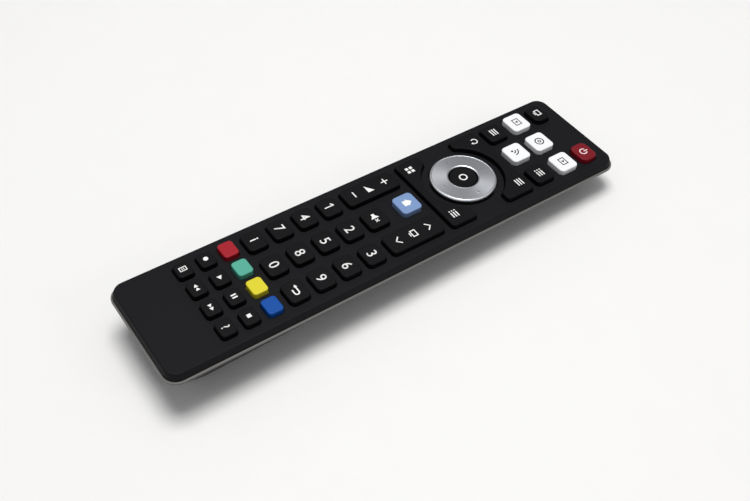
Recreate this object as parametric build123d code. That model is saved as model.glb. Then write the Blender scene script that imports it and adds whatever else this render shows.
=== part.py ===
from build123d import *
import math
import os

# A universal television remote control, lying on its back.
# Millimetres. +Z is up, +Y points to the infrared end, +X is to the user's right.
# The table is z = 0, and the origin lies under the middle of the overall box.
# The back is deeper at the battery end, so the face leans down towards the infrared end.
# "Face frame" below means: origin at the middle of the face, z up out of the face,
# with the keys standing up from z = 0 and everything inside at negative z.

# Overall body
overall_width = 50.0
overall_length = 206.4
bay_air = 0.874
face_tilt = 2.0
ledge_width = 0.6
skirt_flare = 0.9
rim_depth = 2.95
rim_band = 0.8
parting_gap = 0.2
face_corner = 4.5
face_edge_round = 0.6
cover_plate = 1.6
cover_wall = 1.6
tongue_wall = 1.0
tongue_fit = 0.15
tongue_relief = 0.25
case_floor = 2.2
sole_side_wall = 1.45
sole_inset_end = 11.0
sole_corner = 7.0
sole_edge_round = 2.5
cut_overrun = 1.0

# Key caps: they stand straight out of the face
key_height = 2.05
key_corner = 1.8
small_key_corner = 1.4
power_key_corner = 2.6
key_top_round = 0.45
key_clearance = 0.35
column_gap = 4.85
digit_gap = 3.05
source_gap = 3.7
power_key_drop = 1.2
small_column_gap = 3.1
small_row_gap = 3.1
home_gap = 6.29

# Inside the keypad, counted down from the face
key_travel = 0.9
shoulder_gap = 0.15
shoulder_height = 0.8
shoulder_width = 0.6
running_gap = 0.15
mat_thickness = 0.9
mat_fit = 0.15
board_thickness = 1.0
board_fit = 0.3
pad_thickness = 0.05
pill_radius = 2.0
pill_height = 0.3
stem_radius = 2.4
small_pill_radius = 1.7
small_stem_radius = 2.1

# Tilting keys
rocker_angle = 4.0
arch_angle = 2.5
nav_angle = 2.5
hinged_key_depth = 3.2
hinged_shoulder = 0.6
hinged_gap = 0.35
ridge_width = 1.2
arch_overhang = 0.45
arch_upper_gap = 2.6
arch_lower_gap = 3.27
arch_tip_round = 1.6
annulus_width = 3.5

# Direction ring
ring_band = 7.4
ring_height = 2.0
ring_edge_drop = 0.35
ring_thickness = 1.1
ring_bevel = 0.45
ring_inner_bevel = 0.3
ring_opening_gap = 0.6
ring_overhang = 0.4
skirt_wall_gap = 0.2
ring_flange_catch = 0.4
ring_flange_top = 2.65
ring_flange_height = 0.5
nav_pad_gap = 0.5
nav_pad_plate = 0.35
nav_ridge_gap = 0.1
nav_ridge_rise = 0.45
nav_pill_inset = 2.5
ok_gap = 0.5
ok_height = 1.75
ok_dish = 0.25

# Battery compartment: two AAA cells side by side
cell_diameter = 10.5
cell_length = 44.5
cell_button_radius = 1.9
cell_button_height = 0.8
cell_edge_round = 0.4
cell_gap = 0.6
cell_side_gap = 0.5
cell_door_gap = 0.15
spring_room = 6.1
contact_gap = 0.05
contact_sheet = 0.4
contact_width = 7.6
contact_height = 8.0
tail_width = 2.2
tail_slot_gap = 0.4
spring_wire = 0.5
spring_radius = 2.9
spring_turns = 4
tub_wall = 1.3
tub_roof = 0.9
battery_lead_in = 0.15

# Battery door
door_recess = 0.2
door_thickness = 1.2
door_fit = 0.15
door_tongue_width = 0.8
door_tongue_height = 0.5
door_grip_width = 12.0
door_grip_rib = 0.8
door_grip_pitch = 1.6
door_grip_ribs = 5
door_grip_depth = 0.35
door_grip_setback = 12.0

# Screws
screw_length = 10.5
screw_radius = 0.95
screw_thread_gap = 0.05
screw_head_radius = 1.9
screw_head_height = 1.4
screw_tip_depth = 2.4
screw_head_gap = 0.25
screw_slot_width = 0.5
screw_slot_depth = 0.6
boss_radius = 2.3
boss_gap = 0.35
post_radius = 2.9
board_rest_radius = 1.5
board_rest_inset = 2.1

# Infrared end
window_width = 15.0
window_low = 6.2
window_high = 1.95
window_depth = 2.6
window_fit = 0.1
led_radius = 1.5
led_length = 3.6
led_flange_radius = 1.8
led_flange = 0.6
led_spacing = 5.6
led_axis_depth = 3.55
led_set_back = 7.2
led_mat_gap = 0.4
lead_width = 0.5
lead_length = 2.4
lead_spread = 1.27

# Parts under the board
chip_width = 7.5
chip_length = 12.8
chip_height = 2.2
chip_standoff = 0.1
chip_leg_width = 0.42
chip_leg_pitch = 1.27
chip_legs_a_side = 9
chip_leg_reach = 1.3
chip_leg_thick = 0.25
resonator_width = 7.4
resonator_length = 3.4
resonator_height = 4.2
resonator_corner = 1.2
capacitor_radius = 3.0
capacitor_length = 8.0
capacitor_groove = 0.25
capacitor_groove_place = 6.0
small_part_width = 1.6
small_part_length = 3.2
small_part_height = 0.7
small_part_pitch = 5.2
small_parts_a_row = 4

# Places, as shares chosen by hand
column_share = 0.3106
small_column_share = 0.2234
power_row_share = 0.4533
source_row_share = 0.3963
text_row_share = 0.3338
nav_row_share = 0.1967
home_row_share = 0.0590
rocker_row_share = 0.0216
mute_row_share = -0.0157
digit_row_share = -0.0723
digit_pitch_share = 0.05433
colour_row_share = -0.2857
transport_row_share = -0.3309
transport_pitch_share = 0.04523
ring_width_share = 0.28723
ring_length_share = 0.066372
arch_upper_share = 0.541
arch_lower_share = 0.615
arch_pill_share = 0.62
tub_front_share = -0.1372
screw_front_share = 0.4380
screw_back_share = -0.0993
board_rest_shares = (-0.42, -0.18, 0.06, 0.28, 0.44)
chip_share = 0.10
resonator_share = 0.02
capacitor_share = 0.19
small_parts_share = 0.30

# Sizes that follow
foot_width = overall_width - 2 * ledge_width
foot_length = overall_length - 2 * ledge_width
face_width = foot_width - 2 * skirt_flare
face_length = foot_length - 2 * skirt_flare
foot_corner = face_corner + skirt_flare
rim_corner = foot_corner + ledge_width
foot_depth = rim_depth - parting_gap
rim_foot_depth = rim_depth + rim_band
rim_wall = ledge_width + cover_wall + tongue_fit + tongue_wall

shoulder_top = cover_plate + shoulder_gap
shoulder_low = shoulder_top + shoulder_height
mat_top = shoulder_low + key_travel + running_gap
board_top = mat_top + mat_thickness
board_low = board_top + board_thickness
contact_top = board_top - pad_thickness
pill_low = contact_top - running_gap - key_travel

column_pitch = face_width * column_share
small_pitch = face_width * small_column_share
digit_pitch = face_length * digit_pitch_share
source_pitch = face_length * (source_row_share - text_row_share)
transport_pitch = face_length * transport_pitch_share
key_width = column_pitch - column_gap
digit_length = digit_pitch - digit_gap
source_length = source_pitch - source_gap
power_length = source_length - power_key_drop
small_width = small_pitch - small_column_gap
small_length = transport_pitch - small_row_gap
home_pitch = face_length * (home_row_share - mute_row_share)
home_key_length = home_pitch - home_gap
rocker_row = face_length * rocker_row_share
rocker_length = home_pitch + home_key_length

nav_row = face_length * nav_row_share
ring_radius = min(face_width * ring_width_share, face_length * ring_length_share)
ring_hole = ring_radius - ring_band
ring_opening = ring_radius + ring_opening_gap
skirt_radius = ring_radius - ring_overhang
ring_flange_radius = ring_opening + ring_flange_catch
nav_pill_place = ring_radius - nav_pill_inset
nav_pad_inner = ring_hole + nav_pad_gap
nav_pad_outer = nav_pill_place - small_pill_radius - nav_pad_gap
ok_radius = ring_hole - ok_gap
arch_half = column_pitch + key_width / 2 + arch_overhang
arch_radius = ring_radius + annulus_width
arch_upper_low = ring_radius * arch_upper_share
arch_upper_high = face_length * text_row_share - source_length / 2 - arch_upper_gap - nav_row
arch_lower_high = ring_radius * arch_lower_share
arch_lower_low = nav_row - rocker_row - rocker_length / 2 - arch_lower_gap

tub_inside = 2 * cell_diameter + cell_gap + 2 * cell_side_gap
tub_width = tub_inside + 2 * tub_wall
tub_length = cell_length + spring_room + contact_sheet + 2 * contact_gap + contact_sheet
tub_front = face_length * tub_front_share
tub_back = tub_front - tub_length
door_top = door_recess + door_thickness
cell_low = door_top + cell_door_gap
cell_middle = cell_low + cell_diameter / 2
cell_side = (cell_diameter + cell_gap) / 2
roof_low = cell_low + cell_diameter + battery_lead_in
roof_top = roof_low + tub_roof
door_width = tub_inside + tub_wall
door_front = tub_front + tub_wall
sole_half = door_width / 2 + door_tongue_width + sole_side_wall

tilt = math.radians(face_tilt)
face_height = roof_top + bay_air + board_low + tub_front * math.sin(tilt)
board_side = rim_wall + board_fit
mat_side = rim_wall + mat_fit
mat_end = rim_wall + window_depth + mat_fit

on_face = Pos(0, 0, face_height) * Rot(X=-face_tilt)


def slab(width, length, corner, low, high, x=0, y=0):
    """A rounded rectangle between two heights."""
    outline = Pos(x, y, low) * RectangleRounded(width, length, corner)
    return extrude(outline, amount=high - low)


def round_top(solid, radius):
    """Round the edges round the highest flat of a cap."""
    top = solid.faces().sort_by(Axis.Z)[-1]
    return fillet(top.edges(), radius)


def disc(radius, low, high, x=0, y=0):
    """An upright cylinder between two heights."""
    return extrude(Pos(x, y, low) * Circle(radius), amount=high - low)


def washer(outer, inner, low, high, x=0, y=0):
    """An upright ring between two heights."""
    return extrude(Pos(x, y, low) * (Circle(outer) - Circle(inner)), amount=high - low)


def key_places():
    """Each pressed key: name, place, width, length and corner."""
    places = []
    for name, column in (("tv_key", -1), ("power_key", 1)):
        places.append((name, column * column_pitch, power_row_share * face_length,
                       key_width, power_length, power_key_corner))
    source_names = (
        ("source_key_left", source_row_share, -1), ("source_key_middle", source_row_share, 0),
        ("source_key_right", source_row_share, 1), ("text_key", text_row_share, -1),
        ("source_key_lower", text_row_share, 0), ("list_key", text_row_share, 1))
    for name, share, column in source_names:
        places.append((name, column * column_pitch, share * face_length,
                       key_width, source_length, key_corner))
    for name, share in (("home_key", home_row_share), ("mute_key", mute_row_share)):
        places.append((name, 0, share * face_length, key_width, home_key_length, key_corner))
    digit_names = (
        ("digit_1_key", "digit_2_key", "digit_3_key"), ("digit_4_key", "digit_5_key", "digit_6_key"),
        ("digit_7_key", "digit_8_key", "digit_9_key"), ("info_key", "digit_0_key", "back_key"))
    for row, names in enumerate(digit_names):
        for column, name in zip((-1, 0, 1), names):
            y = digit_row_share * face_length - row * digit_pitch
            places.append((name, column * column_pitch, y, key_width, digit_length, key_corner))
    small_rows = (
        (colour_row_share, 0, ("red_key", "green_key", "yellow_key", "blue_key")),
        (transport_row_share, 0, ("record_key", "play_key", "pause_key", "stop_key")),
        (transport_row_share, 1, ("page_key", "rewind_key", "forward_key", "help_key")))
    for share, step, names in small_rows:
        for column, name in enumerate(names):
            x = (column - (len(names) - 1) / 2) * small_pitch
            y = share * face_length - step * transport_pitch
            places.append((name, x, y, small_width, small_length, small_key_corner))
    return places


def pressed_key(x, y, width, length, corner):
    """A rubber key with its wide foot, stem and carbon pill."""
    cap = round_top(slab(width, length, corner, -shoulder_top, key_height), key_top_round)
    foot = slab(width + 2 * shoulder_width, length + 2 * shoulder_width,
                corner + shoulder_width, -shoulder_low, -shoulder_top)
    is_small = corner == small_key_corner
    stem = disc(small_stem_radius if is_small else stem_radius, -pill_low + pill_height, -shoulder_low)
    pill = disc(small_pill_radius if is_small else pill_radius, -pill_low, -pill_low + pill_height)
    rubber = cap + foot + stem
    return [Pos(x, y, 0) * rubber, Pos(x, y, 0) * pill]


def hinged_pill(x, y, reach, angle):
    """A stem and pill under a tilting key that just misses its contact when tilted."""
    fall = (reach + pill_radius) * math.sin(math.radians(angle))
    low = -contact_top + running_gap + fall
    stem = disc(stem_radius, low + pill_height, -hinged_key_depth, x, y)
    pill = disc(pill_radius, low, low + pill_height, x, y)
    return stem, pill


def rocker_key(x):
    """A long rubber key that tips end over end on a ridge."""
    y = rocker_row
    reach = home_pitch / 2
    cap = round_top(slab(key_width, rocker_length, key_corner, -hinged_key_depth, key_height), key_top_round)
    foot = slab(key_width + 2 * shoulder_width, rocker_length + 2 * shoulder_width,
                key_corner + shoulder_width, -hinged_key_depth, -hinged_key_depth + hinged_shoulder)
    ridge = slab(key_width - 2 * key_corner, ridge_width, ridge_width / 3,
                 -board_top + running_gap, -hinged_key_depth)
    rubber = Pos(0, y, 0) * (cap + foot + ridge)
    pills = []
    for side in (-1, 1):
        stem, pill = hinged_pill(0, y + side * reach, reach, rocker_angle)
        rubber += stem
        pills.append(pill)
    return [Pos(x, 0, 0) * rubber] + [Pos(x, 0, 0) * pill for pill in pills]


def arch_outline(low, high, grow=0):
    """Outline of a key that curves round the direction ring; grow widens it all round."""
    block = Pos(0, nav_row + (low + high) / 2) * Rectangle(2 * (arch_half + grow), high - low + 2 * grow)
    outline = block - Pos(0, nav_row) * Circle(arch_radius - grow)
    return fillet(outline.vertices(), arch_tip_round + grow)


def arch_key(low, high, reach_share):
    """A rubber key round one side of the ring that tips left and right on a ridge."""
    cap = round_top(extrude(Pos(0, 0, -hinged_key_depth) * arch_outline(low, high),
                            amount=hinged_key_depth + key_height), key_top_round)
    foot = extrude(Pos(0, 0, -hinged_key_depth) * arch_outline(low, high, shoulder_width),
                   amount=hinged_shoulder)
    strip_low = max(low, arch_radius) if high > 0 else low
    strip_high = high if high > 0 else min(high, -arch_radius)
    strip = strip_high - strip_low
    ridge = slab(ridge_width, strip / 2, strip / 8, -board_top + running_gap,
                 -hinged_key_depth, 0, nav_row + (strip_low + strip_high) / 2)
    rubber = cap + foot + ridge
    pills = []
    pill_y = nav_row + low + (high - low) * reach_share
    for side in (-1, 1):
        stem, pill = hinged_pill(side * column_pitch, pill_y, column_pitch, arch_angle)
        rubber += stem
        pills.append(pill)
    return [rubber] + pills


def revolve_profile(points):
    """Turn a profile of (radius, height) points round the ring's axis."""
    face = make_face(Polyline(*[(r, 0, z) for r, z in points], close=True))
    return Pos(0, nav_row, 0) * revolve(face, axis=Axis.Z)


def nav_ring():
    """The bright ring: nearly flat on top, with bevelled edges."""
    edge = ring_height - ring_edge_drop
    low = ring_height - ring_thickness
    return revolve_profile([
        (ring_hole, low), (ring_radius, low), (ring_radius, edge - ring_bevel),
        (ring_radius - ring_bevel, edge), (ring_hole + ring_inner_bevel, ring_height),
        (ring_hole, ring_height - ring_inner_bevel)])


def nav_skirt():
    """The black carrier under the ring, with its flange below the cover and four pills."""
    top = ring_height - ring_thickness
    low = -ring_flange_top - ring_flange_height
    inner = ring_hole + skirt_wall_gap
    body = washer(skirt_radius, inner, low, top, 0, nav_row)
    body += washer(ring_flange_radius, inner, low, -ring_flange_top, 0, nav_row)
    fall = (nav_pill_place + small_pill_radius) * math.sin(math.radians(nav_angle))
    pill_bottom = -contact_top + running_gap + fall
    pills = []
    for x, y in ((1, 0), (0, 1), (-1, 0), (0, -1)):
        place = (x * nav_pill_place, nav_row + y * nav_pill_place)
        pills.append(disc(small_pill_radius, pill_bottom, low, *place))
    return [body] + pills


def nav_pad():
    """The small rocking pad: a ridge along Y carries the ring, a ridge along X rests on the board."""
    ridge_top = -ring_flange_top - ring_flange_height - nav_ridge_gap
    plate_top = ridge_top - nav_ridge_rise
    plate_low = plate_top - nav_pad_plate
    ridge_low = -board_top + nav_ridge_gap
    plate = washer(nav_pad_outer, nav_pad_inner, plate_low, plate_top, 0, nav_row)
    span = washer(nav_pad_outer, nav_pad_inner, ridge_low, ridge_top, 0, nav_row)
    along = 2 * nav_pad_outer
    upper = slab(ridge_width, along, ridge_width / 3, plate_low, ridge_top, 0, nav_row)
    lower = slab(along, ridge_width, ridge_width / 3, ridge_low, plate_top, 0, nav_row)
    return plate + (span & upper) + (span & lower)


def ok_key():
    """The round centre key, with a shallow dish in its top."""
    cap = disc(ok_radius, -shoulder_low, ok_height, 0, nav_row)
    sphere_radius = (ok_radius ** 2 + ok_dish ** 2) / (2 * ok_dish)
    dish = Pos(0, nav_row, ok_height - ok_dish + sphere_radius) * Sphere(sphere_radius)
    cap = fillet(cap.faces().sort_by(Axis.Z)[-1].edges(), key_top_round) - dish
    stem = disc(stem_radius, -pill_low + pill_height, -shoulder_low, 0, nav_row)
    pill = disc(pill_radius, -pill_low, -pill_low + pill_height, 0, nav_row)
    return [cap + stem, pill]


def key_cutters(pressed_gap, hinged_key_gap, low, high):
    """Solids that cut every key's outline, wider by a gap, out of the cover or the mat."""
    cutters = []
    for name, x, y, width, length, corner in key_places():
        cutters.append(slab(width + 2 * pressed_gap, length + 2 * pressed_gap, corner + pressed_gap,
                            low, high, x, y))
    for side in (-1, 1):
        cutters.append(slab(key_width + 2 * hinged_key_gap, rocker_length + 2 * hinged_key_gap,
                            key_corner + hinged_key_gap, low, high, side * column_pitch, rocker_row))
    for arch_low, arch_high, share in arch_spans():
        outline = Pos(0, 0, low) * arch_outline(arch_low, arch_high, hinged_key_gap)
        cutters.append(extrude(outline, amount=high - low))
    return cutters


def screw_places():
    """Screws: one near the infrared end, two between the digit rows."""
    front = screw_front_share * face_length
    back = screw_back_share * face_length
    return [(0, front), (-column_pitch / 2, back), (column_pitch / 2, back)]


def shell_slice(width, length, corner, depth):
    """A rounded rectangle in the face frame at a depth below the face."""
    return Pos(0, 0, -depth) * RectangleRounded(width, length, corner)


def cover_outside():
    """The cover's outer shape: face plate and flared skirt."""
    body = loft([shell_slice(foot_width, foot_length, foot_corner, foot_depth),
                 shell_slice(face_width, face_length, face_corner, 0)], ruled=True)
    return round_top(body, face_edge_round)


def top_cover():
    """The top cover with its key openings and screw bosses, in the face frame."""
    inset = 2 * cover_wall
    hollow = loft([shell_slice(foot_width - inset, foot_length - inset, foot_corner - cover_wall,
                               rim_depth + cut_overrun),
                   shell_slice(foot_width - inset, foot_length - inset, foot_corner - cover_wall,
                               cover_plate)], ruled=True)
    cover = cover_outside() - hollow
    cover -= key_cutters(key_clearance, key_clearance, -rim_depth, key_height)
    cover -= disc(ring_opening, -rim_depth, key_height, 0, nav_row)
    for x, y in screw_places():
        cover += disc(boss_radius, -board_top, -cover_plate, x, y)
        cover -= disc(screw_radius + screw_thread_gap, -board_top, -screw_tip_depth + screw_thread_gap, x, y)
    return cover - window_block(window_fit)


def case_outside():
    """The outer shape of the bottom case in the table's frame."""
    rim = on_face * shell_slice(overall_width, overall_length, rim_corner, rim_foot_depth)
    sole = RectangleRounded(2 * sole_half, overall_length - 2 * sole_inset_end, sole_corner)
    hull = loft([sole.face(), rim.face()], ruled=True)
    hull = fillet(hull.faces().sort_by(Axis.Z)[0].edges(), sole_edge_round)
    band = slab(overall_width, overall_length, rim_corner, -rim_foot_depth, -rim_depth)
    band = round_top(band, ledge_width / 2)
    return hull + on_face * band


def case_inside():
    """The hollow of the bottom case, upright down to the board, without what stands in it."""
    rim_inner = 2 * rim_wall
    top = on_face * shell_slice(overall_width - rim_inner, overall_length - rim_inner,
                                rim_corner - ledge_width, board_low)
    inset = 2 * case_floor
    sole = Pos(0, 0, case_floor) * RectangleRounded(
        2 * sole_half - inset, overall_length - 2 * sole_inset_end - inset, sole_corner - case_floor)
    hollow = loft([sole.face(), top.face()], ruled=True)
    mouth = slab(overall_width - rim_inner, overall_length - rim_inner, rim_corner - ledge_width,
                 -board_low, cut_overrun)
    return hollow + on_face * mouth


def tongue():
    """The upright lip of the case that centres the cover, in the face frame."""
    outer = 2 * (ledge_width + cover_wall + tongue_fit)
    inner = 2 * rim_wall
    top = -cover_plate - tongue_relief
    low = -rim_depth
    lip = slab(overall_width - outer, overall_length - outer, rim_corner - ledge_width - cover_wall,
               low, top)
    return lip - slab(overall_width - inner, overall_length - inner, rim_corner - rim_wall + cover_wall,
                      low, top)


def battery_tub():
    """Walls and roof round the two cells, in the table's frame."""
    outer = Pos(0, (tub_front + tub_back) / 2, 0) * Box(
        tub_width, tub_length + 2 * tub_wall, roof_top, align=(Align.CENTER, Align.CENTER, Align.MIN))
    inner = Pos(0, (tub_front + tub_back) / 2, 0) * Box(
        tub_inside, tub_length, roof_low, align=(Align.CENTER, Align.CENTER, Align.MIN))
    return outer - inner


def door_blank(grow=0):
    """The door's plate and side tongues, running out past the end of the case."""
    back = -overall_length / 2 - cut_overrun
    front = door_front - door_fit + grow
    length = front - back
    middle = (front + back) / 2
    low = 0 if grow else door_recess
    top = door_top + grow
    plate = Pos(0, middle, (low + top) / 2) * Box(door_width + 2 * grow, length, top - low)
    tongues = Pos(0, middle, (door_recess + door_top) / 2) * Box(
        door_width + 2 * door_tongue_width + 2 * grow, length, door_tongue_height + 2 * grow)
    return plate + tongues


def battery_door():
    """The sliding battery door with its grip, cut to the case's outer shape."""
    door = door_blank() & case_outside()
    back = -overall_length / 2 + sole_inset_end
    for rib in range(door_grip_ribs):
        y = back + door_grip_setback + rib * door_grip_pitch
        door -= Pos(0, y, door_recess + door_grip_depth / 2) * Box(
            door_grip_width, door_grip_rib, door_grip_depth)
    return door


def window_block(grow=0):
    """The block of the infrared end that the window fills, in the face frame."""
    back = foot_length / 2 - window_depth - grow
    front = overall_length / 2 + cut_overrun
    low = -window_low - grow
    high = -window_high + grow
    return Pos(0, (back + front) / 2, (low + high) / 2) * Box(
        window_width + 2 * grow, front - back, high - low)


def ir_window():
    """The dark window, flush with the skirt and the case."""
    joint_line = slab(foot_width, foot_length, foot_corner, -rim_depth, -foot_depth)
    return (on_face * window_block()) & (case_outside() + on_face * (cover_outside() + joint_line))


def bottom_case():
    """The bottom case with the battery tub, posts, tongue and slots."""
    outside = case_outside()
    case = outside - case_inside()
    case += on_face * tongue()
    case += battery_tub() & outside
    for x, y in screw_places():
        case += (on_face * disc(post_radius, -face_height - board_low, -board_low, x, y)) & outside
    rest_x = overall_width / 2 - board_side - board_rest_inset
    for share in board_rest_shares:
        for side in (-1, 1):
            rest = on_face * disc(board_rest_radius, -face_height, -board_low,
                                  side * rest_x, share * face_length)
            case += rest & outside
    seat = -screw_tip_depth - screw_length
    for x, y in screw_places():
        case -= on_face * disc(screw_radius + screw_head_gap, seat, -board_low, x, y)
        case -= on_face * disc(screw_head_radius + screw_head_gap, -face_height - board_low, seat, x, y)
    case -= door_blank(door_fit)
    case -= Pos(0, (tub_front + tub_back) / 2, door_top) * Box(
        tub_inside, tub_length, roof_low - door_top, align=(Align.CENTER, Align.CENTER, Align.MIN))
    for x, y in tail_places():
        case -= Pos(x, y, roof_low) * Box(tail_width + tail_slot_gap, contact_sheet + tail_slot_gap,
                                          tub_roof + cut_overrun, align=(Align.CENTER, Align.CENTER, Align.MIN))
    return case - on_face * window_block(window_fit)


def keypad_mat():
    """The rubber sheet on the board, open under every key."""
    mat = slab(overall_width - 2 * mat_side, overall_length - 2 * mat_end, rim_corner - ledge_width,
               -board_top, -mat_top)
    mat -= key_cutters(key_clearance - shoulder_width, shoulder_width + hinged_gap, -board_top, -mat_top)
    mat -= disc(ring_flange_radius + key_clearance, -board_top, -mat_top, 0, nav_row)
    for x, y in screw_places():
        mat -= disc(boss_radius + boss_gap, -board_top, -mat_top, x, y)
    lead_end = foot_length / 2 - led_set_back - led_flange - lead_length - led_mat_gap
    notch = led_spacing + 2 * lead_spread + lead_width + 2 * led_mat_gap
    middle = (lead_end + overall_length / 2) / 2
    return mat - Pos(0, middle, -(mat_top + board_top) / 2) * Box(
        notch, overall_length / 2 - lead_end, mat_thickness)


def circuit_board():
    """The circuit board with its screw holes."""
    board = slab(overall_width - 2 * board_side, overall_length - 2 * board_side,
                 rim_corner - ledge_width, -board_low, -board_top)
    for x, y in screw_places():
        board -= disc(screw_radius + screw_head_gap, -board_low, -board_top, x, y)
    return board


def contact_pads():
    """The printed contacts on the board, one under each pill."""
    pads = []
    for name, x, y, width, length, corner in key_places():
        radius = small_stem_radius if corner == small_key_corner else stem_radius
        pads.append(disc(radius, -board_top, -contact_top, x, y))
    for side in (-1, 1):
        for share in (home_row_share, mute_row_share):
            pads.append(disc(stem_radius, -board_top, -contact_top,
                             side * column_pitch, share * face_length))
        for low, high, reach_share in arch_spans():
            y = nav_row + low + (high - low) * reach_share
            pads.append(disc(stem_radius, -board_top, -contact_top, side * column_pitch, y))
    for x, y in ((1, 0), (0, 1), (-1, 0), (0, -1), (0, 0)):
        place = (x * nav_pill_place, nav_row + y * nav_pill_place)
        pads.append(disc(small_stem_radius, -board_top, -contact_top, *place))
    return pads


def arch_spans():
    """Both arch keys, counted from the ring's centre, with how far up the pills sit."""
    return ((arch_upper_low, arch_upper_high, arch_pill_share),
            (-arch_lower_low, -arch_lower_high, 1 - arch_pill_share))


def case_screws():
    """Three equal screws, driven from the back into the cover's bosses."""
    seat = -screw_tip_depth - screw_length
    screws = []
    for x, y in screw_places():
        screw = disc(screw_radius, seat, -screw_tip_depth, x, y)
        screw += disc(screw_head_radius, seat - screw_head_height, seat, x, y)
        for turn in (0, 90):
            slot = Box(2 * screw_head_radius, screw_slot_width, 2 * screw_slot_depth)
            screw -= Pos(x, y, seat - screw_head_height) * Rot(Z=turn) * slot
        screws.append(screw)
    return screws


def cell(side):
    """One AAA cell; its button faces the infrared end on the left and the tail on the right."""
    can = extrude(Circle(cell_diameter / 2), amount=cell_length - cell_button_height)
    can = fillet(can.edges().filter_by(GeomType.CIRCLE), cell_edge_round)
    can += disc(cell_button_radius, cell_length - cell_button_height - cell_edge_round, cell_length)
    if side < 0:
        return Pos(-cell_side, tub_front - contact_sheet - contact_gap - cell_length, cell_middle) * (
            Rot(X=-90) * can)
    return Pos(cell_side, tub_back + contact_sheet + contact_gap + cell_length, cell_middle) * (
        Rot(X=90) * can)


def contact_strip(x, width, front):
    """A sheet-metal contact against an end wall of the tub."""
    y = tub_front - contact_sheet / 2 if front else tub_back + contact_sheet / 2
    return Pos(x, y, cell_middle) * Box(width, contact_sheet, contact_height)


def spring_coil(x, front):
    """A coil between a contact and the flat end of its cell."""
    pitch = (spring_room - 2 * contact_gap - spring_wire) / spring_turns
    points = []
    for step in range(8 * spring_turns + 1):
        turn = step / 8
        angle = 2 * math.pi * turn
        points.append((spring_radius * math.cos(angle), spring_radius * math.sin(angle), pitch * turn))
    path = Wire([ThreePointArc(*points[first:first + 3]) for first in range(0, 8 * spring_turns, 2)])
    wire = sweep(Plane(origin=path @ 0, z_dir=path % 0) * Circle(spring_wire / 2), path=path)
    print("spring gap between turns", round(pitch - spring_wire, 2))
    start = contact_sheet + contact_gap + spring_wire / 2
    if front:
        return Pos(x, tub_front - start, cell_middle) * Rot(X=90) * wire
    return Pos(x, tub_back + start, cell_middle) * Rot(X=-90) * wire


def tail_places():
    """Where the two front contacts run up through the tub's roof to the board."""
    y = tub_front - contact_sheet / 2
    return [(-cell_side, y), (cell_side, y)]


def front_contact(side):
    """A front contact with its solder tail up to the board."""
    x = side * cell_side
    y = tub_front - contact_sheet / 2
    low = cell_middle
    tail = Pos(x, y, low) * Box(tail_width, contact_sheet, face_height - low,
                                align=(Align.CENTER, Align.CENTER, Align.MIN))
    above_board = on_face * slab(overall_width, overall_length, rim_corner, -board_low, key_height)
    return contact_strip(x, contact_width, True) + (tail - above_board)


def ir_led(x):
    """One infrared diode lying on the board, dome outwards."""
    y = foot_length / 2 - led_set_back
    barrel = extrude(Circle(led_radius), amount=led_length - led_radius)
    dome = Pos(0, 0, led_length - led_radius) * Sphere(led_radius)
    flange = extrude(Circle(led_flange_radius), amount=-led_flange)
    lens = Pos(x, y, -led_axis_depth) * Rot(X=-90) * (barrel + dome + flange)
    lens -= slab(overall_width, overall_length, rim_corner, -board_low, -board_top)
    for side in (-1, 1):
        lead_x = x + side * lead_spread
        lens += Pos(lead_x, y - led_flange - lead_length / 2, -board_top + lead_width / 2) * Box(
            lead_width, lead_length, lead_width)
        lens += Pos(lead_x, y - led_flange - lead_width / 2, -board_top) * Box(
            lead_width, lead_width, board_top - led_axis_depth,
            align=(Align.CENTER, Align.CENTER, Align.MIN))
    return lens


def controller_chip():
    """The controller under the board, with its rows of legs."""
    y = chip_share * face_length
    top = -board_low - chip_standoff
    body = Pos(0, y, top - chip_height / 2) * Box(chip_width, chip_length, chip_height)
    for leg in range(chip_legs_a_side):
        leg_y = y + (leg - (chip_legs_a_side - 1) / 2) * chip_leg_pitch
        for side in (-1, 1):
            foot_x = side * (chip_width + chip_leg_reach) / 2
            body += Pos(foot_x, leg_y, -board_low - chip_leg_thick / 2) * Box(
                chip_leg_reach, chip_leg_width, chip_leg_thick)
            body += Pos(side * (chip_width + chip_leg_thick) / 2, leg_y, -board_low) * Box(
                chip_leg_thick, chip_leg_width, chip_standoff + chip_height / 2,
                align=(Align.CENTER, Align.CENTER, Align.MAX))
    return body


def resonator():
    """The ceramic resonator beside the controller."""
    y = resonator_share * face_length
    body = slab(resonator_width, resonator_length, resonator_corner,
                -board_low - resonator_height, -board_low - chip_standoff, 0, y)
    for leg in (-1, 0, 1):
        body += Pos(leg * chip_leg_pitch * 2, y, -board_low) * Box(
            chip_leg_width, chip_leg_width, chip_standoff + chip_leg_width,
            align=(Align.CENTER, Align.CENTER, Align.MAX))
    return body


def capacitor():
    """The electrolytic capacitor lying under the board."""
    y = capacitor_share * face_length
    can = extrude(Circle(capacitor_radius), amount=capacitor_length)
    can -= washer(capacitor_radius, capacitor_radius - capacitor_groove,
                  capacitor_groove_place, capacitor_groove_place + 2 * capacitor_groove)
    can = Pos(-capacitor_length / 2, y, -board_low - capacitor_radius - chip_standoff) * Rot(Y=90) * can
    for side in (-1, 1):
        lead_y = y + side * chip_leg_pitch
        can += Pos(-capacitor_length / 2 - lead_width / 2, lead_y, -board_low) * Box(
            lead_width, lead_width, chip_standoff + capacitor_radius,
            align=(Align.CENTER, Align.CENTER, Align.MAX))
        can += Pos(-capacitor_length / 2, lead_y, -board_low - chip_standoff - capacitor_radius + lead_width / 2
                   ) * Box(2 * lead_width, lead_width, lead_width)
    return can


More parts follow.
